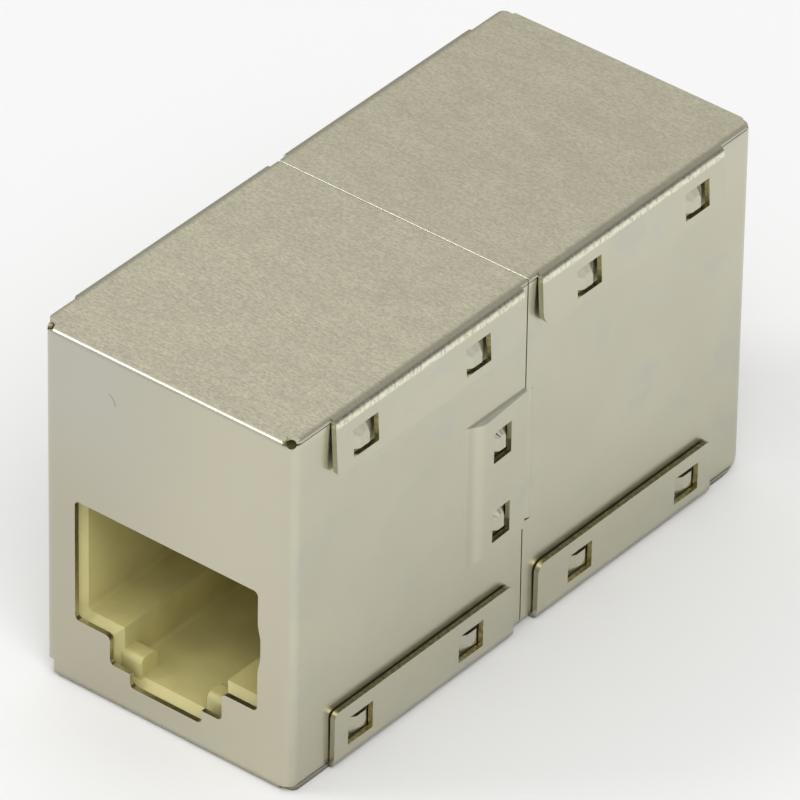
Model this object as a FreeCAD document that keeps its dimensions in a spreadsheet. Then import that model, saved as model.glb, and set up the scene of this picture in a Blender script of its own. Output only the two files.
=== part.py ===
import FreeCAD, Part
import math
import operator
import os
import Sketcher

# Shielded inline coupler: two back-to-back sockets for 8-contact modular plugs.
#
# X runs across the coupler, Y runs through it from the front socket to the rear one and Z is up.
# The origin is the middle of the footprint, on the surface the coupler rests on.
# The rear socket is the front one turned half a turn about Z.

SIZES = (
    # The box made by the two folded shields.
    ("shell_length", 37.8, "over the two end faces"),
    ("shell_width", 16.5, "over the two side walls, without the folded flanges"),
    ("shell_height", 22.2, "over the top and bottom covers"),
    ("sheet", 0.3, "thickness of the shield's sheet"),
    ("seam", 0.08, "gap between the two shields"),
    ("seam_edge_radius", 0.08, "rounded outer edge of the covers at the seam"),
    ("upright_bend", 0.7, "outer radius of the bends between face and side walls"),
    ("level_bend", 0.4, "outer radius of the bends at the covers"),
    ("fold_gap", 0.05, "clearance between a folded piece of sheet and the wall under it"),
    ("relief_radius", 0.25, "radius of the relief hole where three faces meet"),
    ("wall_corner", 1.8, "radius of the lower corner of the wall that carries the tongue"),
    # Flanges folded down and up over the side walls.
    ("flange_drop", 3.5, "height of a flange, from the outside of its cover"),
    ("top_flange_splay", 0.18, "how far a top flange's free edge springs away from the wall"),
    ("bottom_flange_splay", 0.03, "how far a bottom flange's free edge springs away"),
    ("top_flange_front", 3.0, "from the end face to a top flange"),
    ("top_flange_back", 0.75, "from the seam to a top flange"),
    ("bottom_flange_front", 3.2, "from the end face to a bottom flange"),
    ("bottom_flange_back", 1.0, "from the seam to a bottom flange"),
    ("toe_radius", 0.4, "corner of a flange next to the end face"),
    ("top_heel_radius", 1.2, "corner of a top flange next to the seam"),
    ("bottom_heel_radius", 0.6, "corner of a bottom flange next to the seam"),
    ("bottom_notch", 0.6, "how far the bottom cover is cut back between flange and seam"),
    # Windows in the flanges, and the lances of the wall that catch in them.
    ("window_width", 2.0, "window in a flange, along the coupler"),
    ("window_height", 1.7, "window in a flange, upwards"),
    ("window_first", 5.3, "from the end face to the first window's middle"),
    ("window_second", 14.35, "from the end face to the second window's middle"),
    ("top_window_depth", 2.1, "from the top cover to the middle of a window"),
    ("bottom_window_depth", 1.8, "from the bottom cover to the middle of a window"),
    ("lance_rise", 0.4, "how far a lance stands out of its sheet"),
    ("lance_play", 0.08, "clearance between a lance and its window, at the sides and at its foot"),
    ("lance_lip", 0.2, "from a window's locking edge to the lance's sheared lip"),
    ("lance_flank", 0.6, "slope around a lance's flat crown, as a share of its half width"),
    # Pocket drawn out of one side wall, and the other shield's tongue that slides into it.
    ("pocket_low", 6.35, "lower edge of the pocket"),
    ("pocket_high", 15.4, "upper edge of the pocket"),
    ("pocket_reach", 4.9, "from the middle of the coupler to the closed end of the pocket"),
    ("pocket_ramp", 1.2, "length of the slope at the closed end"),
    ("pocket_rise", 0.3, "how far the pocket stands out at the top of that slope"),
    ("pocket_mouth_rise", 0.16, "how far it stands out at the seam"),
    ("pocket_blend", 2.5, "radius between slope and pocket"),
    ("pocket_play", 0.03, "clearance between pocket and tongue at the seam"),
    ("tongue_margin", 0.4, "from a pocket's upper or lower edge to the tongue's"),
    ("tongue_reach", 4.1, "from the middle of the coupler to the tongue's free end"),
    ("tongue_step", 0.55, "length of the step that lowers the tongue into the pocket"),
    ("tongue_bend", 0.35, "radius of the bends of that step"),
    ("tongue_corner", 0.7, "corner radius of the tongue's free end"),
    ("tongue_slit", 0.04, "slit above and below the root of the tongue"),
    ("catch_window_width", 1.5, "window in the pocket, along the coupler"),
    ("catch_window_height", 1.95, "window in the pocket, upwards"),
    ("catch_window_reach", 2.1, "from the middle of the coupler to the windows' middle"),
    ("catch_window_low", 8.1, "middle of the lower window"),
    ("catch_window_high", 13.15, "middle of the upper window"),
    ("catch_lance_lip", 0.55, "from a pocket window's lower edge to the lip of the tongue's lance"),
    ("catch_lance_slot", 0.4, "height of the slot pierced below that lip"),
    # Plug cut-out in the end face.
    ("port_width", 12.2, "cut-out of the face, across"),
    ("port_floor", 4.35, "lower edge of the wide part of the cut-out"),
    ("port_ceiling", 11.95, "upper edge of the cut-out"),
    ("port_step_width", 7.5, "upper step of the latch notch"),
    ("port_step_floor", 2.6, "lower edge of that step"),
    ("port_slot_width", 4.8, "lowest step of the latch notch"),
    ("port_slot_floor", 1.75, "lower edge of the lowest step"),
    ("port_radius", 0.3, "corner radius of the cut-out"),
    ("bulge_depth", 0.18, "shallow nibble in one upright edge of the cut-out"),
    ("bulge_low", 6.9, "lower end of the nibble"),
    ("bulge_high", 9.9, "upper end of the nibble"),
    ("bulge_slope", 0.9, "run-out of the nibble at each end"),
    # Moulded housing behind each face.
    ("housing_gap", 0.05, "clearance between housing and shield"),
    ("housing_wall", 1.0, "wall of the housing's rear hollows"),
    ("housing_corner", 0.55, "radius of the housing's front corners"),
    ("housing_lead", 1.4, "bevel of the housing's upper front edge"),
    ("cavity_width", 11.8, "plug cavity, across"),
    ("cavity_height", 6.9, "plug cavity, from shelf to ceiling"),
    ("cavity_depth", 12.9, "plug cavity, from the housing's front to its end wall"),
    ("cavity_radius", 0.25, "corner radius of the plug cavity"),
    ("shelf_height", 4.6, "shelf that the plug slides on"),
    ("latch_width", 6.9, "channel for the plug's latch, across"),
    ("latch_floor", 2.05, "floor of the latch channel"),
    ("stop_gap", 4.4, "way between the two latch stops"),
    ("stop_height", 1.2, "height of a latch stop above the channel floor"),
    ("stop_length", 1.3, "length of a latch stop"),
    ("stop_setback", 0.35, "from the housing's front to a latch stop"),
    ("stop_radius", 0.35, "rounded edges of a latch stop"),
    ("mouth_chamfer", 0.5, "lead-in around the plug cavity"),
    ("ceiling_web", 1.1, "plastic between plug cavity and contact compartment"),
    ("compartment_height", 5.4, "compartment for the contact block"),
    ("compartment_setback", 2.4, "from the housing's front to the compartment"),
    ("core_rib", 1.2, "rib between the two hollows above the compartment"),
    # Contact block and spring contacts.
    ("block_width", 11.4, "contact block, across"),
    ("block_height", 2.8, "contact block, above the compartment floor"),
    ("block_gap", 0.1, "clearance between contact block and compartment"),
    ("block_back", 1.7, "from the middle of the coupler to the block's back"),
    ("comb_cheek", 0.43, "end of the comb that guides the springs' free ends, beyond the last one"),
    ("comb_length", 1.2, "comb, along the coupler"),
    ("comb_low", 8.4, "lower edge of the comb"),
    ("comb_wall", 0.35, "closed wall at the back of the comb"),
    ("groove_depth", 0.4, "depth of a contact's groove in the block"),
    ("groove_play", 0.05, "side clearance of a contact in its groove"),
    ("comb_play", 0.12, "side clearance of a contact in the comb"),
    ("wire", 0.35, "side of a contact's square wire"),
    ("pitch", 1.02, "spacing of the contacts"),
    ("nose_setback", 3.7, "from the end face to the contacts' front bend"),
    ("nose_radius", 0.9, "outer radius of the contacts' front bend"),
    ("knee_height", 12.0, "underside of a contact where its spring arm starts"),
    ("tip_height", 9.05, "underside of a contact's free end"),
    ("tip_reach", 0.55, "how far a free end reaches into the comb"),
    ("tail_step", 1.25, "from the middle of the coupler to the step of the raised tails"),
    ("tail_rows", 1.9, "spacing of the two rows of solder tails"),
    ("tail_end", 0.9, "from the middle of the coupler to the tail ends, past the board"),
    # Circuit board that joins the two sockets.
    ("board", 1.2, "thickness of the board"),
    ("board_hole_play", 0.05, "clearance around a tail in its solder hole"),
)

CONTACTS = 8            # contacts of one socket
NEAR = 1e-4             # distance in millimetres under which two places are the same
CLEAR = 1.0             # how far a cutting outline runs past the piece it cuts
HALF_TURN = 180         # degrees
TONGUE_SIDE = -1        # the front shield's tongue is on its -X wall, its pocket on the other

PLANE_ROLES = {"plan": "XY_Plane", "front": "XZ_Plane", "side": "YZ_Plane"}
OPERATORS = {"+": operator.add, "-": operator.sub, "*": operator.mul, "/": operator.truediv}


class Size:
    """A length with its number and the spreadsheet expression that drives it."""

    def __init__(self, number, text):
        self.number = number
        self.text = text

    def __float__(self):
        return self.number

    def __add__(self, other):
        return joined(self, "+", other)

    def __radd__(self, other):
        return joined(other, "+", self)

    def __sub__(self, other):
        return joined(self, "-", other)

    def __rsub__(self, other):
        return joined(other, "-", self)

    def __mul__(self, other):
        return joined(self, "*", other)

    def __rmul__(self, other):
        return joined(other, "*", self)

    def __truediv__(self, other):
        return joined(self, "/", other)

    def __neg__(self):
        return joined(0, "-", self)


def as_size(value):
    return value if isinstance(value, Size) else Size(float(value), str(value))


def joined(first, sign, second):
    first, second = as_size(first), as_size(second)
    number = OPERATORS[sign](first.number, second.number)
    return Size(number, "(%s %s %s)" % (first.text, sign, second.text))


def root(size):
    return Size(math.sqrt(size.number), "sqrt(%s)" % size.text)


class Dimensions:
    """The driving dimensions, read from the document's spreadsheet."""

    def __init__(self, document):
        sheet = document.addObject("Spreadsheet::Sheet", "sizes")
        for row, (alias, value, meaning) in enumerate(SIZES, 1):
            sheet.set("A%d" % row, meaning)
            sheet.set("B%d" % row, str(value))
            sheet.setAlias("B%d" % row, alias)
        document.recompute()
        for alias, _, _ in SIZES:
            setattr(self, alias, Size(float(getattr(sheet, alias)), "sizes." + alias))


# ---------------------------------------------------------------- modelling steps

def new_body(name):
    body = document.addObject("PartDesign::Body", name)
    body.Label = name
    return body


def origin_feature(body, role):
    return next(item for item in body.Origin.OriginFeatures if item.Role == role)


def new_sketch(body, name, plane, level):
    """Sketch on one of the body's own origin planes, moved along that plane's normal."""
    sketch = body.newObject("Sketcher::SketchObject", name + "_sketch")
    sketch.AttachmentSupport = (origin_feature(body, PLANE_ROLES[plane]), [""])
    sketch.MapMode = "FlatFace"
    sketch.setExpression("AttachmentOffset.Base.z", as_size(level).text)
    return sketch


def pin_point(sketch, geometry, end, across=None, up=None):
    """Fix one point of a sketch by its distances from the sketch's origin."""
    for kind, value in (("DistanceX", across), ("DistanceY", up)):
        if value is not None:
            size = as_size(value)
            index = sketch.addConstraint(Sketcher.Constraint(kind, -1, 1, geometry, end, size.number))
            sketch.setExpression("Constraints[%d]" % index, size.text)


def set_radius(sketch, geometry, radius):
    index = sketch.addConstraint(Sketcher.Constraint("Radius", geometry, float(radius)))
    sketch.setExpression("Constraints[%d]" % index, as_size(radius).text)


def draw_loop(sketch, corners):
    """Closed loop of straight lines. A corner is (across, up) or (across, up, radius)."""
    first = sketch.GeometryCount
    count = len(corners)
    spots = [FreeCAD.Vector(float(corner[0]), float(corner[1]), 0) for corner in corners]
    for index in range(count):
        sketch.addGeometry(Part.LineSegment(spots[index], spots[(index + 1) % count]), False)
    for index in range(count):
        following = first + (index + 1) % count
        sketch.addConstraint(Sketcher.Constraint("Coincident", first + index, 2, following, 1))
    for index, corner in enumerate(corners):
        pin_point(sketch, first + index, 1, corner[0], corner[1])
    for index, corner in enumerate(corners):
        if len(corner) > 2:
            sketch.fillet(first + index, 1, float(corner[2]), True, True)
            arcs = [place for place, item in enumerate(sketch.Geometry)
                    if isinstance(item, Part.ArcOfCircle)]
            set_radius(sketch, arcs[-1], corner[2])


def rectangle(left, right, low, high, radius=None):
    corners = ((left, low), (right, low), (right, high), (left, high))
    return [corner + (radius,) for corner in corners] if radius is not None else list(corners)


def checked(body, feature, before, cut):
    """Recompute and make sure that a step added to or took from its body as meant."""
    document.recompute()
    volume = feature.Shape.Volume
    if cut and volume >= before - NEAR or not cut and volume <= before + NEAR:
        raise RuntimeError("%s.%s did not change its body" % (body.Label, feature.Label))
    return feature


def volume_of(body):
    return body.Tip.Shape.Volume if body.Tip and body.Tip.Shape.Solids else 0


def prism(body, name, plane, loops, low, high, cut=False):
    """Pad or pocket a sketch of one or more loops between two levels along its plane's axis."""
    before = volume_of(body)
    level = -high if plane == "front" else low      # the front plane's normal points to -Y
    sketch = new_sketch(body, name, plane, level)
    for corners in loops:
        draw_loop(sketch, corners)
    feature = body.newObject("PartDesign::Pocket" if cut else "PartDesign::Pad", name)
    feature.Profile = sketch
    feature.setExpression("Length", (high - low).text)
    feature.Reversed = cut                          # a pocket runs against the normal by itself
    return checked(body, feature, before, cut)


def across_wall(side, inner, outer):
    """Two distances from the middle as low and high levels on one side."""
    return (inner, outer) if side > 0 else (-outer, -inner)


def half_turned(body, name, level, corners, reversed_turn):
    """Half a turn of a level outline about its own first side, added to the body."""
    before = volume_of(body)
    sketch = new_sketch(body, name, "plan", level)
    draw_loop(sketch, corners)
    feature = body.newObject("PartDesign::Revolution", name)
    feature.Profile = sketch
    feature.ReferenceAxis = (sketch, ["Edge1"])
    feature.Angle = HALF_TURN
    feature.Reversed = reversed_turn
    return checked(body, feature, before, False)


def straight_edges(shape, beyond=None, **places):
    """Names of the straight edges whose ends both lie at the given x, y or z."""
    names = []
    for index, edge in enumerate(shape.Edges, 1):
        ends = [vertex.Point for vertex in edge.Vertexes]
        level = all(abs(getattr(end, axis) - float(value)) < NEAR
                    for end in ends for axis, value in places.items())
        if len(ends) == 2 and level and (beyond is None or all(beyond(end) for end in ends)):
            names.append("Edge%d" % index)
    if not names:
        raise RuntimeError("no edge at %s" % places)
    return names


def dress(body, kind, name, edges, size):
    """Fillet or chamfer of the named edges of the body as it stands."""
    tip = body.Tip
    feature = body.newObject("PartDesign::" + kind, name)
    feature.Base = (tip, edges)
    feature.setExpression("Radius" if kind == "Fillet" else "Size", as_size(size).text)
    document.recompute()
    return feature


def linear_pattern(body, name, axis, length, count):
    """Pattern along one of the body's own axes, still without the features that it repeats."""
    pattern = body.newObject("PartDesign::LinearPattern", name)
    pattern.Direction = (origin_feature(body, axis), [""])
    pattern.setExpression("Length", length.text)
    pattern.Occurrences = count
    return pattern


def repeat(body, name, features, axis, length, count):
    """Copies of some features along one of the body's own axes."""
    before = volume_of(body)
    pattern = linear_pattern(body, name, axis, length, count)
    pattern.Originals = features
    return finished_pattern(body, pattern, before)


def repeat_on_both_sides(body, name, features, axis, length, count):
    """Copies along an axis, and the mirror image of them all on the other side of X = 0."""
    before = volume_of(body)
    both = body.newObject("PartDesign::MultiTransform", name)
    along = linear_pattern(body, name + "_along", axis, length, count)
    mirror = body.newObject("PartDesign::Mirrored", name + "_mirror")
    mirror.MirrorPlane = (origin_feature(body, PLANE_ROLES["side"]), [""])
    both.Originals = features
    both.Transformations = [along, mirror]
    return finished_pattern(body, both, before)


def finished_pattern(body, pattern, before):
    body.Tip = pattern
    document.recompute()
    if abs(pattern.Shape.Volume - before) < NEAR:
        raise RuntimeError("%s.%s repeats nothing" % (body.Label, pattern.Label))
    return pattern


# ---------------------------------------------------------------- shared places

class Places:
    """Levels that several pieces share, worked out from the driving dimensions."""

    def __init__(self):
        self.half = dims.shell_width / 2
        self.face = -dims.shell_length / 2
        self.seam_edge = -dims.seam / 2
        self.top = dims.shell_height
        self.housing_front = self.face + dims.sheet + dims.housing_gap
        self.housing_half = self.half - dims.sheet - dims.housing_gap
        self.housing_low = dims.sheet + dims.housing_gap
        self.housing_high = self.top - self.housing_low
        self.board_face = -dims.board / 2
        self.cavity_ceiling = dims.shelf_height + dims.cavity_height
        self.cavity_end = self.housing_front + dims.cavity_depth
        self.compartment_floor = self.cavity_ceiling + dims.ceiling_web
        self.block_top = self.compartment_floor + dims.block_height
        self.comb_back = self.cavity_end - dims.housing_gap
        self.comb_front = self.comb_back - dims.comb_length
        self.run = self.block_top - dims.groove_depth + dims.wire / 2
        self.nose = self.face + dims.nose_setback
        self.comb_half = self.across(CONTACTS) + dims.wire / 2 + dims.comb_play + dims.comb_cheek
        self.tongue_drop = dims.sheet - dims.pocket_mouth_rise + dims.pocket_play
        self.tongue_low = dims.pocket_low + dims.tongue_margin
        self.tongue_high = dims.pocket_high - dims.tongue_margin
        self.under_tongue = self.half - self.tongue_drop - dims.sheet - dims.housing_gap

    def across(self, number):
        """Middle of a contact, counted from 1 at -X."""
        return (number - (CONTACTS + 1) / 2) * dims.pitch


# ---------------------------------------------------------------- folded shield

def face_and_covers(body):
    """Face bent into both covers, and the covers' full width behind the corners."""
    flat = at.half - dims.upright_bend
    inner = dims.level_bend - dims.sheet
    channel = [(at.face, 0, dims.level_bend), (at.seam_edge, 0), (at.seam_edge, dims.sheet),
               (at.face + dims.sheet, dims.sheet, inner),
               (at.face + dims.sheet, at.top - dims.sheet, inner),
               (at.seam_edge, at.top - dims.sheet), (at.seam_edge, at.top),
               (at.face, at.top, dims.level_bend)]
    prism(body, "face_and_covers", "side", [channel], -flat, flat)
    front, notch = at.face + dims.level_bend, -dims.bottom_flange_back
    cut_back = at.half - dims.bottom_notch
    prism(body, "bottom_cover", "plan",
          [[(-at.half, front, dims.level_bend), (at.half, front, dims.level_bend), (at.half, notch),
            (cut_back, notch), (cut_back, at.seam_edge), (-cut_back, at.seam_edge),
            (-cut_back, notch), (-at.half, notch)]], as_size(0), dims.sheet)
    prism(body, "top_cover", "plan",
          [[(-at.half, front, dims.level_bend), (at.half, front, dims.level_bend),
            (at.half, at.seam_edge), (-at.half, at.seam_edge)]], at.top - dims.sheet, at.top)
    corners = [edge for level in (0, at.top)
               for edge in straight_edges(body.Tip.Shape, y=at.seam_edge, z=level)]
    dress(body, "Fillet", "seam_edges", corners, dims.seam_edge_radius)


def side_walls(body):
    """Both side walls, bent back from the face."""
    inside = at.half - dims.sheet
    inner = dims.upright_bend - dims.sheet
    walls = [(-at.half, at.seam_edge), (-at.half, at.face, dims.upright_bend),
             (at.half, at.face, dims.upright_bend), (at.half, at.seam_edge),
             (inside, at.seam_edge), (inside, at.face + dims.sheet, inner),
             (-inside, at.face + dims.sheet, inner), (-inside, at.seam_edge)]
    wall_low = dims.sheet + dims.fold_gap
    prism(body, "side_walls", "plan", [walls], wall_low, at.top - wall_low)


def port(body):
    """Stepped cut-out of the face for the plug and its latch."""
    wide, step, slot = dims.port_width / 2, dims.port_step_width / 2, dims.port_slot_width / 2
    radius = dims.port_radius
    nibble = wide + dims.bulge_depth
    corners = [(-wide, dims.port_ceiling, radius), (wide, dims.port_ceiling, radius),
               (wide, dims.bulge_high, radius), (nibble, dims.bulge_high - dims.bulge_slope, radius),
               (nibble, dims.bulge_low + dims.bulge_slope, radius), (wide, dims.bulge_low, radius),
               (wide, dims.port_floor, radius), (step, dims.port_floor, radius),
               (step, dims.port_step_floor, radius), (slot, dims.port_step_floor),
               (slot, dims.port_slot_floor, radius), (-slot, dims.port_slot_floor, radius),
               (-slot, dims.port_step_floor), (-step, dims.port_step_floor, radius),
               (-step, dims.port_floor, radius), (-wide, dims.port_floor, radius)]
    behind = at.face + dims.sheet + dims.fold_gap
    prism(body, "port", "front", [corners], at.face - CLEAR, behind, cut=True)


def corner_reliefs(body):
    """Relief holes where face, top cover and a wall meet, and the tongue wall's round corner."""
    inset = dims.upright_bend / 3
    reach = dims.upright_bend / 2
    for name, side in (("right", 1), ("left", -1)):
        before = volume_of(body)
        hole = body.newObject("PartDesign::SubtractiveCylinder", name + "_relief")
        hole.setExpression("Radius", dims.relief_radius.text)
        hole.setExpression("Height", (2 * dims.upright_bend).text)
        slanted = FreeCAD.Rotation(FreeCAD.Vector(0, 0, 1), FreeCAD.Vector(side, -1, 1))
        hole.Placement = FreeCAD.Placement(FreeCAD.Vector(), slanted)
        for axis, place in (("x", side * (at.half - inset - reach)), ("y", at.face + inset + reach),
                            ("z", at.top - inset - reach)):
            hole.setExpression("Placement.Base." + axis, place.text)
        checked(body, hole, before, True)
    radius = dims.wall_corner
    corners = [(at.face - CLEAR, radius + CLEAR), (at.face, radius + CLEAR), (at.face, 0, radius),
               (at.face + radius + CLEAR, 0), (at.face + radius + CLEAR, -CLEAR),
               (at.face - CLEAR, -CLEAR)]
    low, high = across_wall(TONGUE_SIDE, at.half - dims.upright_bend, at.half + CLEAR)
    prism(body, "wall_corner", "side", [corners], low, high, cut=True)


def from_top(distance):
    return at.top - distance


def from_bottom(distance):
    return as_size(distance)


def flanges(body, row, depth, front, back, splay, heel_radius):
    """Flanges that one cover folds over both side walls. depth() gives a height from the cover."""
    root_x = at.half - dims.sheet
    fold = at.half + dims.fold_gap + dims.sheet
    free = fold + splay
    inner = dims.level_bend - dims.sheet
    loops = [[(side * root_x, depth(0)), (side * fold, depth(0), dims.level_bend),
              (side * free, depth(dims.flange_drop)),
              (side * (free - dims.sheet), depth(dims.flange_drop)),
              (side * (fold - dims.sheet), depth(dims.sheet), inner),
              (side * root_x, depth(dims.sheet))] for side in (1, -1)]
    prism(body, row + "_flanges", "front", loops, front, back)
    edge_level = depth(dims.flange_drop)
    for name, place, radius in (("toes", front, dims.toe_radius), ("heels", back, heel_radius)):
        corners = straight_edges(body.Tip.Shape, y=place, z=edge_level)
        dress(body, "Fillet", "%s_%s" % (row, name), corners, radius)


def windows(body, name, middles, levels, width, height, low, high):
    """One pocket for a grid of windows in the sheet that lies over a side wall."""
    loops = [rectangle(middle - width / 2, middle + width / 2, level - height / 2, level + height / 2)
             for middle in middles for level in levels]
    prism(body, name, "side", loops, low, high, cut=True)


def pocket(body, side):
    """Shallow pocket drawn out of a side wall, open at the seam, with windows for the lances."""
    inside = at.half - dims.sheet
    end, slope_top = -dims.pocket_reach, dims.pocket_ramp - dims.pocket_reach
    crest, mouth = at.half + dims.pocket_rise, at.half + dims.pocket_mouth_rise
    outline = [(side * inside, end), (side * at.half, end),
               (side * crest, slope_top, dims.pocket_blend), (side * mouth, at.seam_edge),
               (side * inside, at.seam_edge)]
    prism(body, "pocket", "plan", [outline], dims.pocket_low, dims.pocket_high)
    beyond = crest + CLEAR
    run = beyond - at.half
    bevels = [[(side * at.half, edge), (side * beyond, edge - up * run),
               (side * beyond, edge + up * CLEAR), (side * at.half, edge + up * CLEAR)]
              for edge, up in ((dims.pocket_high, 1), (dims.pocket_low, -1))]
    prism(body, "pocket_bevels", "front", bevels, end - CLEAR, as_size(CLEAR), cut=True)
    within = inside - CLEAR
    hollow = [(side * within, end), (side * inside, end),
              (side * (crest - dims.sheet), slope_top, dims.pocket_blend),
              (side * (mouth - dims.sheet), at.seam_edge),
              (side * (mouth - dims.sheet), at.seam_edge + CLEAR),
              (side * within, at.seam_edge + CLEAR)]
    prism(body, "pocket_hollow", "plan", [hollow], dims.pocket_low + dims.sheet,
          dims.pocket_high - dims.sheet, cut=True)
    low, high = across_wall(side, within, beyond)
    windows(body, "pocket_windows", [-dims.catch_window_reach],
            [dims.catch_window_low, dims.catch_window_high],
            dims.catch_window_width, dims.catch_window_height, low, high)


def tongue(body, side):
    """Tongue that steps down from one side wall into the other shield's pocket, with its lances."""
    step = at.seam_edge - dims.tongue_step
    inside = at.half - dims.sheet
    outer = at.half - at.tongue_drop
    low, high = across_wall(side, inside - CLEAR, at.half + CLEAR)
    opening = rectangle(step, at.seam_edge + CLEAR,
                        at.tongue_low - dims.tongue_slit, at.tongue_high + dims.tongue_slit)
    prism(body, "tongue_opening", "side", [opening], low, high, cut=True)
    bend = dims.tongue_bend
    profile = [(side * inside, step - dims.sheet), (side * at.half, step - dims.sheet),
               (side * at.half, step, bend), (side * outer, at.seam_edge, bend),
               (side * outer, dims.tongue_reach), (side * (outer - dims.sheet), dims.tongue_reach),
               (side * (outer - dims.sheet), at.seam_edge, bend), (side * inside, step, bend)]
    prism(body, "tongue", "plan", [profile], at.tongue_low, at.tongue_high)
    shape = body.Tip.Shape
    corners = (straight_edges(shape, y=dims.tongue_reach, z=at.tongue_low)
               + straight_edges(shape, y=dims.tongue_reach, z=at.tongue_high))
    dress(body, "Fillet", "tongue_corners", corners, dims.tongue_corner)
    lip = dims.catch_window_low - dims.catch_window_height / 2 + dims.catch_lance_lip
    half_width = dims.catch_window_width / 2 - dims.lance_play
    pressed = lance(body, "tongue_lance", side, outer, dims.catch_window_reach, lip, True,
                    half_width, dims.catch_window_height - dims.catch_lance_lip - dims.lance_play)
    slot = rectangle(dims.catch_window_reach - half_width, dims.catch_window_reach + half_width,
                     lip - dims.catch_lance_slot, lip)
    pierced = prism(body, "tongue_slot", "side", [slot], low, high, cut=True)
    repeat(body, "tongue_lances", pressed + [pierced], "Z_Axis",
           dims.catch_window_high - dims.catch_window_low, 2)


def lance(body, name, side, foot, along, lip, upward, spread, height):
    """Round-headed bulge pressed out of a sheet, sheared open along its straight lip."""
    crown = spread * (1 - dims.lance_flank)
    crest = foot + dims.lance_rise
    shoulder = lip + (height - spread) if upward else lip - (height - spread)
    low, high = (lip, shoulder) if upward else (shoulder, lip)
    section = [(side * foot, along), (side * crest, along), (side * crest, along + crown),
               (side * foot, along + spread)]
    across_lip = [(side * foot, along - spread), (side * crest, along - crown)] + section[2:]
    bulge = prism(body, name, "plan", [across_lip], low, high)
    head = half_turned(body, name + "_head", shoulder, section, upward != (side > 0))
    inside = [(corner_x - side * dims.sheet, corner_y) for corner_x, corner_y in across_lip]
    hollow = prism(body, name + "_hollow", "plan", [inside], low, high, cut=True)
    return [bulge, head, hollow]


def make_shield(name):
    """Half shell folded from one sheet: face, covers, walls, four flanges, a pocket and a tongue."""
    body = new_body(name)
    face_and_covers(body)
    flanges(body, "top", from_top, at.face + dims.top_flange_front, -dims.top_flange_back,
            dims.top_flange_splay, dims.top_heel_radius)
    flanges(body, "bottom", from_bottom, at.face + dims.bottom_flange_front,
            -dims.bottom_flange_back, dims.bottom_flange_splay, dims.bottom_heel_radius)
    rows = (("top", from_top, dims.top_window_depth, 1),
            ("bottom", from_bottom, dims.bottom_window_depth, -1))
    first, second = at.face + dims.window_first, at.face + dims.window_second
    beyond = at.half + CLEAR
    windows(body, "flange_windows", [first, second],
            [depth(window_depth) for _, depth, window_depth, _ in rows],
            dims.window_width, dims.window_height, -beyond, beyond)
    side_walls(body)
    port(body)
    corner_reliefs(body)
    pocket(body, -TONGUE_SIDE)
    tongue(body, TONGUE_SIDE)
    for row, depth, window_depth, up in rows:
        lip = depth(window_depth) - up * (dims.window_height / 2 - dims.lance_lip)
        pressed = lance(body, row + "_lance", 1, at.half, first, lip, up > 0,
                        dims.window_width / 2 - dims.lance_play,
                        dims.window_height - dims.lance_lip - dims.lance_play)
        repeat_on_both_sides(body, row + "_lances", pressed, "Y_Axis", second - first, 2)
    return body


# ---------------------------------------------------------------- moulded housing

def make_housing(name):
    """Moulded jack housing: plug cavity, latch channel with its stops, and rear hollows."""
    body = new_body(name)
    block = [(-at.housing_half, at.housing_front, dims.housing_corner),
             (at.housing_half, at.housing_front, dims.housing_corner),
             (at.housing_half, at.board_face), (-at.housing_half, at.board_face)]
    prism(body, "block", "plan", [block], at.housing_low, at.housing_high)
    reach = dims.housing_lead + CLEAR
    bevel = [(at.housing_front - CLEAR, at.housing_high - reach),
             (at.housing_front + reach, at.housing_high + CLEAR),
             (at.housing_front - CLEAR, at.housing_high + CLEAR)]
    prism(body, "bevel", "side", [bevel], -at.half, at.half, cut=True)
    mouth = at.housing_front - CLEAR
    wide, latch = dims.cavity_width / 2, dims.latch_width / 2
    radius = dims.cavity_radius
    cavity = [(-wide, at.cavity_ceiling, radius), (-wide, dims.shelf_height, radius),
              (-latch, dims.shelf_height), (-latch, dims.latch_floor, radius),
              (latch, dims.latch_floor, radius), (latch, dims.shelf_height),
              (wide, dims.shelf_height, radius), (wide, at.cavity_ceiling, radius)]
    prism(body, "plug_cavity", "front", [cavity], mouth, at.cavity_end, cut=True)
    shape = body.Tip.Shape
    rim = straight_edges(shape, y=at.housing_front, beyond=lambda end: abs(end.x) < float(wide) + NEAR
                         and float(dims.latch_floor) - NEAR < end.z < float(at.cavity_ceiling) + NEAR)
    dress(body, "Chamfer", "mouth_lead_in", rim, dims.mouth_chamfer)
    rear_hollows(body)
    tongue_recess(body, -TONGUE_SIDE)
    for side_name, side in (("right", 1), ("left", -1)):
        latch_stop(body, side_name + "_latch_stop", side)
    return body


def latch_stop(body, name, side):
    """Short block at the side of the latch channel, behind which the plug's latch snaps."""
    front = at.housing_front + dims.stop_setback
    inner, outer = dims.stop_gap / 2, dims.latch_width / 2 + dims.stop_radius
    low, high = across_wall(side, inner, outer)
    top = dims.latch_floor + dims.stop_height
    corners = [(front, dims.latch_floor - dims.stop_radius), (front, top, dims.stop_radius),
               (front + dims.stop_length, top, dims.stop_radius),
               (front + dims.stop_length, dims.latch_floor - dims.stop_radius)]
    prism(body, name, "side", [corners], low, high)


def tongue_recess(body, side):
    """Shallow recess in the housing's side under the other shield's tongue."""
    low, high = across_wall(side, at.under_tongue, at.half + CLEAR)
    recess = rectangle(-dims.tongue_reach - dims.tongue_margin, at.board_face + CLEAR,
                       dims.pocket_low, dims.pocket_high)
    prism(body, "tongue_recess", "side", [recess], low, high, cut=True)


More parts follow.
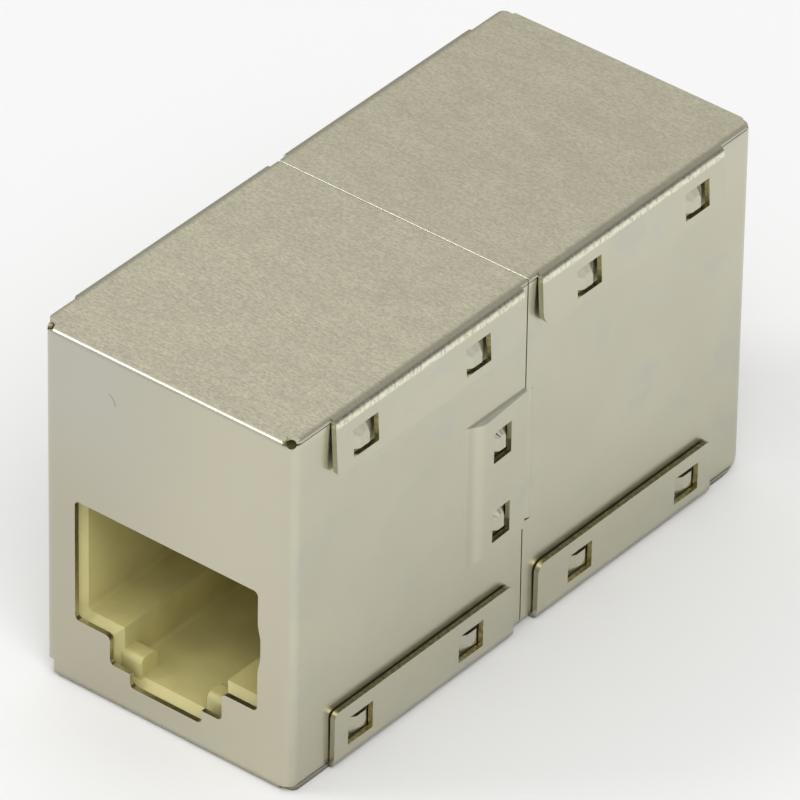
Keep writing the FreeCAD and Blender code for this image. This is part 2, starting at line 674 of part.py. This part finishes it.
def rear_hollows(body):
    """Compartment for the contact block, the slot for its springs, and the moulding's cores."""
    rear = at.board_face + CLEAR
    compartment_half = dims.block_width / 2 + dims.block_gap
    ceiling = at.compartment_floor + dims.compartment_height
    compartment = rectangle(-compartment_half, compartment_half, at.compartment_floor, ceiling)
    prism(body, "contact_compartment", "front", [compartment],
          at.housing_front + dims.compartment_setback, rear, cut=True)
    slot_half = at.comb_half + dims.block_gap
    slot = rectangle(-slot_half, slot_half, at.nose - dims.wire, at.comb_back + dims.housing_gap)
    prism(body, "spring_slot", "plan", [slot],
          at.cavity_ceiling - dims.housing_wall, at.compartment_floor + dims.housing_wall, cut=True)
    core_half = at.housing_half - dims.housing_wall
    lower = rectangle(-core_half, core_half, at.housing_low + dims.housing_wall,
                      at.compartment_floor - dims.ceiling_web)
    prism(body, "lower_core", "front", [lower], at.cavity_end + dims.housing_wall, rear, cut=True)
    rib_half = dims.core_rib / 2
    upper_low, upper_high = ceiling + dims.housing_wall, at.housing_high - dims.housing_wall
    prism(body, "upper_cores", "front",
          [rectangle(rib_half, core_half, upper_low, upper_high),
           rectangle(-core_half, -rib_half, upper_low, upper_high)],
          at.housing_front + dims.housing_wall, rear, cut=True)


# ---------------------------------------------------------------- contacts and their block

def make_contact_block(name):
    """Insulating block with a groove for each contact and a comb for the springs' free ends."""
    body = new_body(name)
    half = dims.block_width / 2
    front = at.nose - dims.wire / 2
    prism(body, "plate", "plan", [rectangle(-half, half, front, -dims.block_back)],
          at.compartment_floor, at.block_top)
    prism(body, "comb", "plan", [rectangle(-at.comb_half, at.comb_half, at.comb_front, at.comb_back)],
          dims.comb_low, at.compartment_floor + dims.housing_wall)
    first = at.across(1)
    reach = dims.wire / 2 + dims.groove_play
    floor, behind = at.run - dims.wire / 2, at.nose + dims.wire / 2
    groove_path = [(front - CLEAR, at.compartment_floor - CLEAR), (behind, at.compartment_floor - CLEAR),
                   (behind, floor, dims.nose_radius - dims.wire), (CLEAR - dims.block_back, floor),
                   (CLEAR - dims.block_back, at.block_top + CLEAR), (front - CLEAR, at.block_top + CLEAR)]
    groove = prism(body, "groove", "side", [groove_path], first - reach, first + reach, cut=True)
    reach = dims.wire / 2 + dims.comb_play
    slot_path = rectangle(at.comb_front - CLEAR, at.comb_back - dims.comb_wall,
                          dims.comb_low - CLEAR, at.compartment_floor)
    slot = prism(body, "comb_slot", "side", [slot_path], first - reach, first + reach, cut=True)
    repeat(body, "contact_ways", [groove, slot], "X_Axis", (CONTACTS - 1) * dims.pitch, CONTACTS)
    return body


def make_contact(name, number):
    """Wire contact: solder tail, run along the block, front bend and sloping spring arm."""
    body = new_body(name)
    half = dims.wire / 2
    front, back = at.nose - half, at.nose + half
    tip = at.comb_front + dims.tip_reach
    slope = (dims.knee_height - dims.tip_height) / (tip - front)
    upright = dims.wire * root(1 + slope * slope)
    inner_radius = dims.nose_radius - dims.wire
    upper, lower = at.run + half, at.run - half
    spring = [(front, upper, dims.nose_radius), (front, dims.knee_height, dims.nose_radius),
              (tip, dims.tip_height), (tip, dims.tip_height + upright),
              (back, dims.knee_height - slope * dims.wire + upright, inner_radius),
              (back, lower, inner_radius)]
    if number % 2:
        tail = [(dims.tail_end, lower), (dims.tail_end, upper)]
    else:
        step_front, step_back = -dims.tail_step - half, -dims.tail_step + half
        tail = [(step_back, lower), (step_back, lower + dims.tail_rows),
                (dims.tail_end, lower + dims.tail_rows), (dims.tail_end, upper + dims.tail_rows),
                (step_front, upper + dims.tail_rows), (step_front, upper)]
    middle = at.across(number)
    prism(body, "wire", "side", [spring + tail], middle - half, middle + half)
    return body


# ---------------------------------------------------------------- circuit board

def make_circuit_board(name):
    """Upright board between the two housings, with both sockets' rows of solder holes."""
    body = new_body(name)
    half = dims.board / 2
    prism(body, "board", "front",
          [rectangle(-at.under_tongue, at.under_tongue, at.housing_low, at.housing_high)], -half, half)
    first = at.across(1)
    reach = dims.wire / 2 + dims.board_hole_play
    for row, level in (("lower", at.run), ("upper", at.run + dims.tail_rows)):
        hole = prism(body, row + "_hole", "front",
                     [rectangle(first - reach, first + reach, level - reach, level + reach)],
                     -half, half, cut=True)
        repeat(body, row + "_holes", [hole], "X_Axis", (CONTACTS - 1) * dims.pitch, CONTACTS)
    return body


# ---------------------------------------------------------------- assembly

def make_socket(end):
    """One socket: shield, housing, contact block and eight contacts."""
    bodies = [make_shield(end + "_shield"), make_housing(end + "_housing"),
              make_contact_block(end + "_contact_block")]
    for number in range(1, CONTACTS + 1):
        bodies.append(make_contact("%s_contact_%d" % (end, number), number))
    return bodies


def link_to_other_end(piece):
    """The rear socket's copy of a front piece, half a turn about Z."""
    link = document.addObject("App::Link", piece.Label.replace("front", "rear"))
    link.Label = piece.Label.replace("front", "rear")
    link.LinkedObject = piece
    link.Placement = FreeCAD.Placement(
        FreeCAD.Vector(), FreeCAD.Rotation(FreeCAD.Vector(0, 0, 1), HALF_TURN))
    return link


def checked_shapes(pieces):
    """Shape of each piece by name, once every object and every shape is sound."""
    for item in document.Objects:
        if "Invalid" in item.State or "Error" in item.State:
            raise RuntimeError("%s failed: %s" % (item.Label, item.State))
    shapes = {piece.Label: Part.getShape(piece) for piece in pieces}
    for name, shape in shapes.items():
        if shape.isNull() or not shape.isValid() or len(shape.Solids) != 1:
            raise RuntimeError("%s is not one valid solid" % name)
    return shapes


def write_parts(shapes):
    os.makedirs("parts", exist_ok=True)
    for name, shape in shapes.items():
        shape.exportStep(os.path.join("parts", name + ".step"))


document = FreeCAD.newDocument("inline_coupler")
dims = Dimensions(document)
at = Places()

front_socket = make_socket("front")
rear_socket = [link_to_other_end(piece) for piece in front_socket]
circuit_board = make_circuit_board("circuit_board")
document.recompute()
write_parts(checked_shapes(front_socket + rear_socket + [circuit_board]))
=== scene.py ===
import math

import bpy
from bpy.props import FloatProperty, FloatVectorProperty, PointerProperty
from mathutils import Matrix, Vector


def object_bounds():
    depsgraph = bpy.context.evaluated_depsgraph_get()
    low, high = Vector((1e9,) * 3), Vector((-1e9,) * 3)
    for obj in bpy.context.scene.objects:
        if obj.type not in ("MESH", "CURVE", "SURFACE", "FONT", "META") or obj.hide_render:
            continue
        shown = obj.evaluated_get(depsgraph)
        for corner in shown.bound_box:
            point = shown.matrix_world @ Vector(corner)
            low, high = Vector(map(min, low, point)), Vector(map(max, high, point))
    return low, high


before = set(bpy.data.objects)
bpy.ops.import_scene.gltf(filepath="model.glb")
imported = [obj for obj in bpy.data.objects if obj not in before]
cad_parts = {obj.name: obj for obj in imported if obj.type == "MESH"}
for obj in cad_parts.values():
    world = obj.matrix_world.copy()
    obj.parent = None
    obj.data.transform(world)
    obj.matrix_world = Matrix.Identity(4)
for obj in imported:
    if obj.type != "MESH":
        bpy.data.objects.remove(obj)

bl_info = {
    "name": "Shielded inline coupler",
    "version": (1, 0, 0),
    "blender": (4, 5, 0),
    "location": "3D View > Sidebar > Coupler",
    "description": "Finishes of a shielded modular inline coupler, and the stage that it stands on",
    "category": "Object",
}

MM = 0.001
CAD_LOW, CAD_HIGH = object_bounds()
LONG, HIGH = [(CAD_HIGH[axis] - CAD_LOW[axis]) / MM for axis in (1, 2)]

# Places on the shields and the floor, in millimetres.
HALF = 8.25                                 # from the middle to the outside of a side wall
FOLD_HEIGHT = 0.7                           # of the soft folds, from the outside of a cover
WINDOWS = (5.3, 14.35)                      # from an end face to the middles of a flange's windows
WINDOW_REACH = 1.15                         # from a window's middle past its edges along the coupler
PORT_HALF, PORT_LOW, PORT_HIGH = 6.1, 1.75, 11.95
POCKET_LOW, POCKET_HIGH = 6.35, 15.4
POCKET_END_SHADE = (4.2, 4.6, 5.0)               # painted shade: a dark line below the pocket's closed end, from the seam
POCKET_END_HIGHLIGHT = (3.4, 4.0, 4.5)              # painted highlight: a light line above it; where both start, peak and end
OFF_FLANGES = 6                             # from half height: takes in the pocket and no flange
SCRATCH_PLACE = (-3.98, 19.13)              # centre of the scratch's arc on the front face
SCRATCH_RADIUS, SCRATCH_HALF_WIDTH = 0.605, 0.035
FLOOR_SIDE = 4000
FLOOR_DROP = 0.02                           # keeps the floor clear of the undersides

SHIELDS = ("front_shield", "rear_shield")
HOUSINGS = ("front_housing", "rear_housing")
BLOCKS = ("front_contact_block", "rear_contact_block")
CONTACTS = ["%s_contact_%d" % (end, number) for end in ("front", "rear") for number in range(1, 9)]
BOARD = ("circuit_board",)


# ---------------------------------------------------------------- shader maths

class Socket:
    """A node's output whose operators add the nodes that work out an expression."""

    def __init__(self, nodes, output):
        self.nodes = nodes
        self.output = output

    def math(self, operation, *values):
        return self.nodes.node("ShaderNodeMath", {"operation": operation},
                               dict(enumerate((self,) + values)))

    def __add__(self, other):
        return self.math("ADD", other)

    __radd__ = __add__

    def __mul__(self, other):
        return self.math("MULTIPLY", other)

    __rmul__ = __mul__

    def __sub__(self, other):
        return self.math("SUBTRACT", other)

    def __rsub__(self, other):
        return self.nodes.node("ShaderNodeMath", {"operation": "SUBTRACT"}, {0: other, 1: self})

    def __pow__(self, other):
        return self.math("POWER", other)

    def __gt__(self, other):
        return self.math("GREATER_THAN", other)

    def __lt__(self, other):
        return self.math("LESS_THAN", other)

    def lowest(self, other):
        return self.math("MINIMUM", other)

    def highest(self, other):
        return self.math("MAXIMUM", other)

    def size(self):
        """The number without its sign."""
        return self.math("ABSOLUTE")

    def between(self, low, high):
        """0 before the first value and 1 past the second, smooth between; either may be the larger."""
        if low > high:
            return 1 - self.between(high, low)
        settings = {"interpolation_type": "SMOOTHSTEP"}
        return self.nodes.node("ShaderNodeMapRange", settings, {0: self, 1: low, 2: high})

    def peak(self, low, top, high):
        """1 at the middle value, and 0 past the two others."""
        return self.between(high, top) * self.between(low, top)


class Nodes:
    """Adds nodes to one node tree."""

    def __init__(self, tree):
        self.tree = tree

    def node(self, kind, settings=None, inputs=None, output=0):
        """Adds a node: its settings first, then the values or links of its sockets."""
        made = self.tree.nodes.new(kind)
        for name, value in (settings or {}).items():
            setattr(made, name, value)
        for socket, value in (inputs or {}).items():
            if isinstance(value, Socket):
                self.tree.links.new(value.output, made.inputs[socket])
            else:
                made.inputs[socket].default_value = value
        return Socket(self, made.outputs[output])

    def split(self, vector):
        """The three numbers of a vector."""
        return [self.node("ShaderNodeSeparateXYZ", {}, {0: vector}, axis) for axis in range(3)]

    def noise(self, where, detail=2.0, roughness=0.5, distortion=0.0):
        """Noise from 0 to 1, mostly about 0.5."""
        return self.node("ShaderNodeTexNoise", {}, {
            "Vector": where, "Scale": 1.0, "Detail": detail, "Roughness": roughness,
            "Distortion": distortion}, "Fac")

    def mix(self, factor, first, second):
        """The first colour where the factor is 0, and the second where it is 1."""
        first, second = [value if isinstance(value, Socket) else (*value, 1.0) for value in (first, second)]
        return self.node("ShaderNodeMix", {"data_type": "RGBA", "blend_type": "MIX"},
                         {0: factor, 6: first, 7: second}, 2)


class Shader(Nodes):
    """Builds one material's nodes on its Principled shader."""

    def __init__(self, name, **constants):
        self.material = bpy.data.materials.new(name)
        self.material.use_nodes = True
        super().__init__(self.material.node_tree)
        self.principled = self.tree.nodes["Principled BSDF"]
        for socket, value in constants.items():
            self.principled.inputs[socket.replace("_", " ")].default_value = value
        self.place = self.node("ShaderNodeTexCoord", output="Object")

    def axes(self):
        """The place on the piece in millimetres, as three numbers."""
        return [part * (1 / MM) for part in self.split(self.place)]

    def facing(self):
        """How squarely the surface faces each axis, either way: 1 is square on."""
        return [part.size() for part in self.split(self.node("ShaderNodeTexCoord", output="Normal"))]

    def scaled(self, x, y, z):
        """The place on the piece for a pattern: how many of its cells a millimetre holds on each axis."""
        return self.node("ShaderNodeMapping", {"vector_type": "POINT"},
                         {"Vector": self.place, "Scale": (x / MM, y / MM, z / MM)})

    def bump(self, height, distance, under=None):
        """Bump from a height of 0 to 1 that stands for a distance in millimetres, over another bump."""
        inputs = {"Height": height, "Distance": distance * MM}
        if under:
            inputs["Normal"] = under
        return self.node("ShaderNodeBump", {}, inputs, "Normal")

    def send(self, **values):
        """Links the values to the shader's sockets, and gives the material."""
        for socket, value in values.items():
            self.tree.links.new(value.output, self.principled.inputs[socket.replace("_", " ")])
        return self.material


# ---------------------------------------------------------------- materials

class NickelPlate(Shader):
    """Satin nickel plate: short grain on the covers, smooth tinted walls and brown sheared edges."""

    def __init__(self, name, finish):
        super().__init__(name, Metallic=1.0)
        self.finish = finish
        self.x, self.y, self.z = self.axes()
        self.on_x, self.on_y, self.on_z = self.facing()
        self.from_middle = (self.z - HIGH / 2).size()
        self.up_fold = (self.from_middle - (HIGH / 2 - FOLD_HEIGHT)).highest(0)
        # The covers' grain runs across the coupler, in strokes of different lengths.
        fine = self.noise(self.scaled(4.5, 9.0, 4.0), 2.0, 0.6, 0.3)
        strokes = self.noise(self.scaled(1.4, 6.5, 3.0), 2.0, 0.6, 0.2)
        self.grain = fine * 0.7 + strokes * 0.3
        self.speckle = self.noise(self.scaled(4.0, 4.0, 4.0), 2.0, 0.6)
        self.rope = self.noise(self.scaled(3.0, 4.5, 3.0), 2.0, 0.7)
        self.cover = self.on_z.between(0.6, 0.85) * self.from_middle.between(HIGH / 2 - 0.6, HIGH / 2 - 0.4)
        # Outside of the soft folds between the top cover and its flanges.
        self.fold = (self.x.size().between(HALF + 0.05, HALF + 0.2) * self.up_fold.between(0.0, 0.2)
                     * self.z.between(HIGH - 0.12, HIGH - 0.2) * self.z.between(HIGH / 2, HIGH / 2 + 1))

    def finished(self):
        """Puts the plate's colours, roughness and bump together, and gives the material."""
        # The end faces take a darker copy of the walls' nickel plate as painted shade.
        walls = self.mix(self.on_y.between(0.6, 0.85), self.wall_colour(), self.face_colour())
        colour = self.mix(self.cover, walls, self.cover_colour())
        colour = self.fold_shade_and_highlight(colour)
        colour = self.mix(self.cut(), colour, self.cut_colour())
        colour = self.mix(self.scratch() * 0.75, colour, (0.12, 0.12, 0.11))
        rough = (self.grain - 0.5) * 0.2 * self.cover + 0.3
        height = (self.grain - 0.5) * self.cover + (self.speckle - 0.5) * 0.15
        height = height + (self.rope - 0.5) * self.fold * 1.5
        return self.send(Base_Color=colour, Roughness=rough,
                         Normal=self.bump(height, 0.006, self.rounding()))

    def cover_colour(self):
        """Covers: grained and patchy, with painted shade darkening them towards the rear."""
        colour = self.finish.cover_colour
        grained = self.mix(self.grain.between(0.36, 0.66), shaded(colour, 0.83), shaded(colour, 1.16))
        patches = self.noise(self.scaled(0.35, 0.55, 0.5), 2.0)
        # The random patches are the plate's own tone; the darkening towards the rear is painted shade.
        patches_and_rear_shade = patches.between(0.3, 0.7) * 0.12 + self.y.between(-16, 14) * 0.24
        return self.mix(patches_and_rear_shade, grained, shaded(colour, 0.6))

    def wall_colour(self):
        """Side walls and flanges: cloudy, with cool stains, painted shade towards the bottom, and a painted
        shade line and painted highlight at each pocket's closed end.
        """
        colour = self.finish.wall_colour
        tint = self.noise(self.scaled(0.22, 0.17, 0.2), 3.0)
        cool = self.noise(self.scaled(0.16, 0.24, 0.30), 3.0, 0.6, 0.4)
        walls = self.mix(tint.between(0.35, 0.7) * 0.5, tuple(colour), shaded(colour, 0.93))
        walls = self.mix(cool.between(0.5, 0.72) * 0.5, walls, tuple(self.finish.cool_tint))
        # Painted shade: the walls darken towards the bottom.
        walls = self.mix(self.z.between(10, 1) * 0.4, walls, shaded(colour, 0.7))
        # Each shield's pocket is on the other side wall, and a wall without one is put out of reach.
        from_seam = self.y.size() + LONG * (self.x * self.y > 0)
        drawn = (self.z.between(POCKET_LOW - 0.15, POCKET_LOW + 0.25)
                 * self.z.between(POCKET_HIGH + 0.1, POCKET_HIGH - 0.3))
        # Painted shade along the pocket's closed end, and a painted highlight on its slope.
        pocket_end_shade = drawn * from_seam.peak(*POCKET_END_SHADE)
        pocket_end_highlight = drawn * from_seam.peak(*POCKET_END_HIGHLIGHT)
        walls = self.mix(pocket_end_shade * 0.2, walls, shaded(colour, 0.6))
        return self.mix(pocket_end_highlight * 0.25, walls, shaded(colour, 1.25))

    def face_colour(self):
        """End faces: a darker copy of the plate as painted shade, made brighter towards +X as painted light,
        and cooler at the top towards -X.
        """
        faces = self.mix(self.x.between(-7, 5), tuple(self.finish.face_colour),
                         tuple(self.finish.face_painted_light_colour))
        cool_corner = self.x.between(4, -6) * self.z.between(10, 19)
        return self.mix(cool_corner * 0.6, faces, tuple(self.finish.cool_tint))

    def fold_shade_and_highlight(self, colour):
        """Paints shade as a dark line along the brink of a cover, and a painted highlight in a ropy pattern
        on the outside of its folds.
        """
        # Painted shade: a dark line along the brink of each cover.
        brink = (self.x.size().between(HALF - 0.3, HALF + 0.05)
                 * self.from_middle.between(HIGH / 2 - 0.2, HIGH / 2 - 0.12))
        colour = self.mix(brink * 0.7, colour, shaded(self.finish.cover_colour, 0.4))
        # Painted highlight on the outside of the folds, broken up in a ropy pattern.
        return self.mix(self.fold * self.rope.between(0.3, 0.6), colour, shaded(self.finish.wall_colour, 1.5))

    def cut(self):
        """Mask of the sheared edges: a window's walls, a flange's rim and the port's cut-out."""
        past_wall = self.x.size().between(HALF + 0.02, HALF + 0.06)
        off_bends = self.z.between(0.5, 0.6) * self.z.between(HIGH - 0.5, HIGH - 0.6)
        side_cut = past_wall * off_bends * self.on_x.between(0.6, 0.4)
        at_port = (self.x.size().between(PORT_HALF + 0.5, PORT_HALF + 0.4)
                   * self.z.between(PORT_HIGH + 0.25, PORT_HIGH + 0.15)
                   * self.z.between(PORT_LOW - 0.15, PORT_LOW - 0.05)
                   * self.y.size().between(LONG / 2 - 0.4, LONG / 2 - 0.35))
        return side_cut.highest(at_port * self.on_y.between(0.6, 0.4) * 0.35)

    def cut_colour(self):
        """Brown and speckled bare metal, but plated on the edges across the coupler outside the windows; the
        window walls keep the darker brown as painted shade.
        """
        colour = self.finish.cut_colour
        brown = self.mix(self.speckle.between(0.3, 0.7), shaded(colour, 0.65), shaded(colour, 1.2))
        first, second = [(self.y.size() - (LONG / 2 - middle)).size() for middle in WINDOWS]
        # The window walls are left out of the plated colour: their darker brown is painted shade.
        plated = self.on_y.between(0.6, 0.8) * (first.lowest(second) > WINDOW_REACH)
        return self.mix(plated * 0.8, brown, shaded(self.finish.wall_colour, 0.92))

    def scratch(self):
        """Mask of the short curved scratch on the front face."""
        middle_x, middle_z = SCRATCH_PLACE
        away = (((self.x - middle_x) ** 2 + (self.z - middle_z) ** 2) ** 0.5 - SCRATCH_RADIUS).size()
        line = away.between(SCRATCH_HALF_WIDTH, SCRATCH_HALF_WIDTH / 3)
        quarter = self.x.between(middle_x + 0.12, middle_x + 0.2) * self.z.between(middle_z - 0.05, middle_z)
        return line * quarter * self.y.between(0.5 - LONG / 2, 0.4 - LONG / 2)

    def rounding(self):
        """Bump that softens the folds and rolls the lower part of the pocket's upper bevel over."""
        bevel = (self.on_z.between(0.5, 0.6) * self.on_z.between(0.85, 0.8)
                 * (self.x.size() > HALF + 0.01) * (self.from_middle < OFF_FLANGES))
        upper = self.z > (POCKET_LOW + POCKET_HIGH) / 2
        rolled = (POCKET_HIGH - 0.13 - self.z).highest(0).lowest(0.3) * upper * bevel
        return self.bump(self.up_fold * self.up_fold * -0.5 - rolled * 1.3, 1.0)


def shaded(colour, level):
    return tuple(level * part for part in colour)


def moulding_material(name, colour, shade):
    """Moulded plastic, faintly mottled: the shade is the darker mottle's share of the colour."""
    shader = Shader(name, Roughness=0.42)
    broad = shader.noise(shader.scaled(0.3, 0.3, 0.3), 3.0)
    fine = shader.noise(shader.scaled(5.0, 5.0, 5.0), 2.0)
    mottled = shader.mix(broad.between(0.3, 0.7), tuple(colour), shaded(colour, shade))
    return shader.send(Base_Color=mottled, Normal=shader.bump(fine, 0.003))


def gold_material(name, colour):
    """Gold plate with duller, rougher worn places."""
    shader = Shader(name, Metallic=1.0)
    worn = shader.noise(shader.scaled(1.5, 1.5, 1.5), 3.0)
    mottled = shader.mix(worn.between(0.4, 0.7), tuple(colour), shaded(colour, 0.8))
    return shader.send(Base_Color=mottled, Roughness=worn * 0.2 + 0.15)


def assign(nodes, material):
    """Gives one material to each of the named CAD nodes."""
    for name in nodes:
        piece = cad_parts[name]
        piece.data.materials.clear()
        piece.data.materials.append(material)


# ---------------------------------------------------------------- sizes and colours

class StageSettings(bpy.types.PropertyGroup):
    azimuth: FloatProperty(name="Azimuth", description="How far the camera stands to the right of the front",
                           default=math.radians(38.55), subtype="ANGLE")
    elevation: FloatProperty(name="Elevation", description="How far the camera looks down",
                             default=math.radians(35.77), subtype="ANGLE")
    roll: FloatProperty(name="Roll", description="Turn of the camera about its line of sight",
                        default=math.radians(0.988), subtype="ANGLE")
    distance: FloatProperty(name="Distance", description="From the camera to the coupler's middle",
                            default=0.5699, unit="LENGTH")
    lens: FloatProperty(name="Lens", description="Focal length in millimetres", default=492.98)
    aim_drop: FloatProperty(name="Aim drop", description="How far below the coupler's middle the camera aims",
                            default=0.000305, unit="LENGTH")
    floor_colour: FloatVectorProperty(name="Floor", description="Colour of the floor", subtype="COLOR",
                                      default=(0.92, 0.92, 0.92))
    horizon: FloatProperty(name="Horizon", description="Brightness of the surroundings at the horizon",
                           default=0.10)
    overhead: FloatProperty(name="Overhead", description="Brightness of the surroundings overhead",
                            default=0.82)
    rise: FloatVectorProperty(name="Rise", description="Heights between which the surroundings brighten",
                              size=2, default=(0.02, 0.30))
    back_way: FloatVectorProperty(name="Back right", description="Side with a low bright wall, dark above",
                                  default=(0.68, 0.73, 0.0))
    lamp_distance: FloatProperty(name="Lamp distance", description="From the coupler to both softboxes",
                                 default=0.8, unit="LENGTH")
    key_level: FloatProperty(name="Key", description="Brightness of the left softbox", default=7.0)
    key_size: FloatProperty(name="Key size", description="Side of the left softbox", default=0.2,
                            unit="LENGTH")
    key_way: FloatVectorProperty(name="Key direction", description="Where the left softbox stands",
                                 default=(-0.55, -0.45, 0.70))
    fill_level: FloatProperty(name="Fill", description="Brightness of the right softbox", default=3.5)
    fill_size: FloatProperty(name="Fill size", description="Side of the right softbox", default=0.4,
                             unit="LENGTH")
    fill_way: FloatVectorProperty(name="Fill direction", description="Where the right softbox stands",
                                  default=(0.55, -0.40, 0.85))


class FinishSettings(bpy.types.PropertyGroup):
    cover_colour: FloatVectorProperty(name="Covers", description="Nickel plate of the top and bottom covers",
                                      subtype="COLOR", default=(0.613, 0.573, 0.427))
    wall_colour: FloatVectorProperty(name="Walls", description="Nickel plate of the side walls and flanges",
                                     subtype="COLOR", default=(0.59, 0.57, 0.448))
    cool_tint: FloatVectorProperty(name="Cool tint", description="Bluish patches of the side walls",
                                   subtype="COLOR", default=(0.52, 0.52, 0.46))
    # The end faces' plate is darker than the walls' as painted shade, and their bright side is painted light.
    face_colour: FloatVectorProperty(name="Face", description="Nickel plate of the end faces",
                                     subtype="COLOR", default=(0.48, 0.45, 0.35))
    face_painted_light_colour: FloatVectorProperty(name="Face, bright side", description="End faces, right side",
                                            subtype="COLOR", default=(0.555, 0.53, 0.41))
    cut_colour: FloatVectorProperty(name="Cut edges", description="Bare brown metal of the sheared edges",
                                    subtype="COLOR", default=(0.50, 0.45, 0.26))
    ivory_colour: FloatVectorProperty(name="Ivory", description="Colour of the housings", subtype="COLOR",
                                      default=(0.65, 0.59, 0.26))
    black_colour: FloatVectorProperty(name="Black", description="Colour of the contact blocks",
                                      subtype="COLOR", default=(0.03, 0.03, 0.032))
    gold_colour: FloatVectorProperty(name="Gold", description="Colour of the contacts", subtype="COLOR",
                                     default=(0.83, 0.62, 0.25))
    board_colour: FloatVectorProperty(name="Board", description="Colour of the circuit board",
                                      subtype="COLOR", default=(0.05, 0.20, 0.09))


# ---------------------------------------------------------------- operators

class COUPLER_OT_shields(bpy.types.Operator):
    """Finish both folded shields"""
    bl_idname = "coupler.shields"
    bl_label = "Shields"

    def execute(self, context):
        assign(SHIELDS, NickelPlate("nickel_plate", context.scene.coupler_finish).finished())
        return {"FINISHED"}


class COUPLER_OT_mouldings(bpy.types.Operator):
    """Finish the housings and contact blocks"""
    bl_idname = "coupler.mouldings"
    bl_label = "Mouldings"

    def execute(self, context):
        finish = context.scene.coupler_finish
        assign(HOUSINGS, moulding_material("ivory_moulding", finish.ivory_colour, 0.85))
        assign(BLOCKS, moulding_material("black_moulding", finish.black_colour, 0.7))
        return {"FINISHED"}


class COUPLER_OT_contacts(bpy.types.Operator):
    """Finish the spring contacts and the circuit board"""
    bl_idname = "coupler.contacts"
    bl_label = "Contacts and board"

    def execute(self, context):
        finish = context.scene.coupler_finish
        assign(CONTACTS, gold_material("gold_wire", finish.gold_colour))
        assign(BOARD, moulding_material("board_laminate", finish.board_colour, 0.8))
        return {"FINISHED"}


class COUPLER_OT_stage(bpy.types.Operator):
    """Build the floor, the lights and the camera"""
    bl_idname = "coupler.stage"
    bl_label = "Stage"

    def execute(self, context):
        stage = context.scene.coupler_stage
        bpy.ops.mesh.primitive_plane_add(size=FLOOR_SIDE * MM, location=(0, 0, -FLOOR_DROP * MM))
        floor = context.object
        floor.name = "floor"
        shader = Shader("floor_paper", Roughness=0.9)
        shader.principled.inputs["Base Color"].default_value = (*stage.floor_colour, 1.0)
        floor.data.materials.append(shader.material)
        context.scene.world = self.studio(stage)
        self.softbox(context, "key", stage.key_way, stage.key_size, stage.key_level, stage.lamp_distance)
        self.softbox(context, "fill", stage.fill_way, stage.fill_size, stage.fill_level, stage.lamp_distance)
        self.camera(context, stage)
        context.scene.view_settings.view_transform = "Standard"
        return {"FINISHED"}

    def studio(self, stage):
        """Surroundings that brighten upwards, with a bright low wall at the back right, dark above."""
        world = bpy.data.worlds.new("studio")
        world.use_nodes = True
        nodes = Nodes(world.node_tree)
        x, y, height = nodes.split(nodes.node("ShaderNodeTexCoord", output="Generated"))
        back_x, back_y, back_z = stage.back_way
        back = (x * back_x + y * back_y + height * back_z).between(0.3, 0.6)
        dark = x.between(-0.1, 0.25) * y.between(0.3, 0.55)
        lit = (height.between(*stage.rise) * (1 - dark)).highest(back * height.between(0.6, 0.3))
        level = lit * (stage.overhead - stage.horizon) + stage.horizon
        background = world.node_tree.nodes["Background"]
        background.inputs["Color"].default_value = (1, 1, 1, 1)
        world.node_tree.links.new(level.output, background.inputs["Strength"])
        return world

    def softbox(self, context, name, way, size, level, distance):
        """Square soft lamp that faces the coupler."""
        data = bpy.data.lights.new(name, "AREA")
        data.shape = "SQUARE"
        data.size = size
        data.energy = math.pi * size ** 2 * level
        lamp = bpy.data.objects.new(name, data)
        context.collection.objects.link(lamp)
        away = Vector(way).normalized()
        lamp.location = away * distance
        lamp.rotation_euler = away.to_track_quat("Z", "Y").to_euler()

    def camera(self, context, stage):
        """Camera that looks down at the coupler from the front right."""
        azimuth, elevation = stage.azimuth, stage.elevation
        back = Vector((math.sin(azimuth) * math.cos(elevation), -math.cos(azimuth) * math.cos(elevation),
                       math.sin(elevation)))
        level = Vector((math.cos(azimuth), math.sin(azimuth), 0))
        upright = back.cross(level)
        right = math.cos(stage.roll) * level + math.sin(stage.roll) * upright
        up = math.cos(stage.roll) * upright - math.sin(stage.roll) * level
        middle = (CAD_LOW + CAD_HIGH) / 2
        place = middle - up * stage.aim_drop + back * stage.distance
        data = bpy.data.cameras.new("camera")
        data.lens = stage.lens
        data.clip_start, data.clip_end = 0.01, 10
        camera = bpy.data.objects.new("camera", data)
        context.collection.objects.link(camera)
        camera.matrix_world = Matrix.Translation(place) @ Matrix((right, up, back)).transposed().to_4x4()
        context.scene.camera = camera


class COUPLER_PT_panel(bpy.types.Panel):
    """Buttons for each group of pieces"""
    bl_idname = "COUPLER_PT_panel"
    bl_label = "Inline coupler"
    bl_space_type = "VIEW_3D"
    bl_region_type = "UI"
    bl_category = "Coupler"

    def draw(self, context):
        for operator in OPERATORS:
            self.layout.operator(operator.bl_idname)


OPERATORS = (COUPLER_OT_shields, COUPLER_OT_mouldings, COUPLER_OT_contacts, COUPLER_OT_stage)
CLASSES = (StageSettings, FinishSettings) + OPERATORS + (COUPLER_PT_panel,)


def register():
    for item in CLASSES:
        bpy.utils.register_class(item)
    bpy.types.Scene.coupler_stage = PointerProperty(type=StageSettings)
    bpy.types.Scene.coupler_finish = PointerProperty(type=FinishSettings)


def unregister():
    del bpy.types.Scene.coupler_finish
    del bpy.types.Scene.coupler_stage
    for item in reversed(CLASSES):
        bpy.utils.unregister_class(item)


def main():
    register()
    bpy.ops.coupler.shields()
    bpy.ops.coupler.mouldings()
    bpy.ops.coupler.contacts()
    bpy.ops.coupler.stage()


if __name__ == "__main__":
    main()
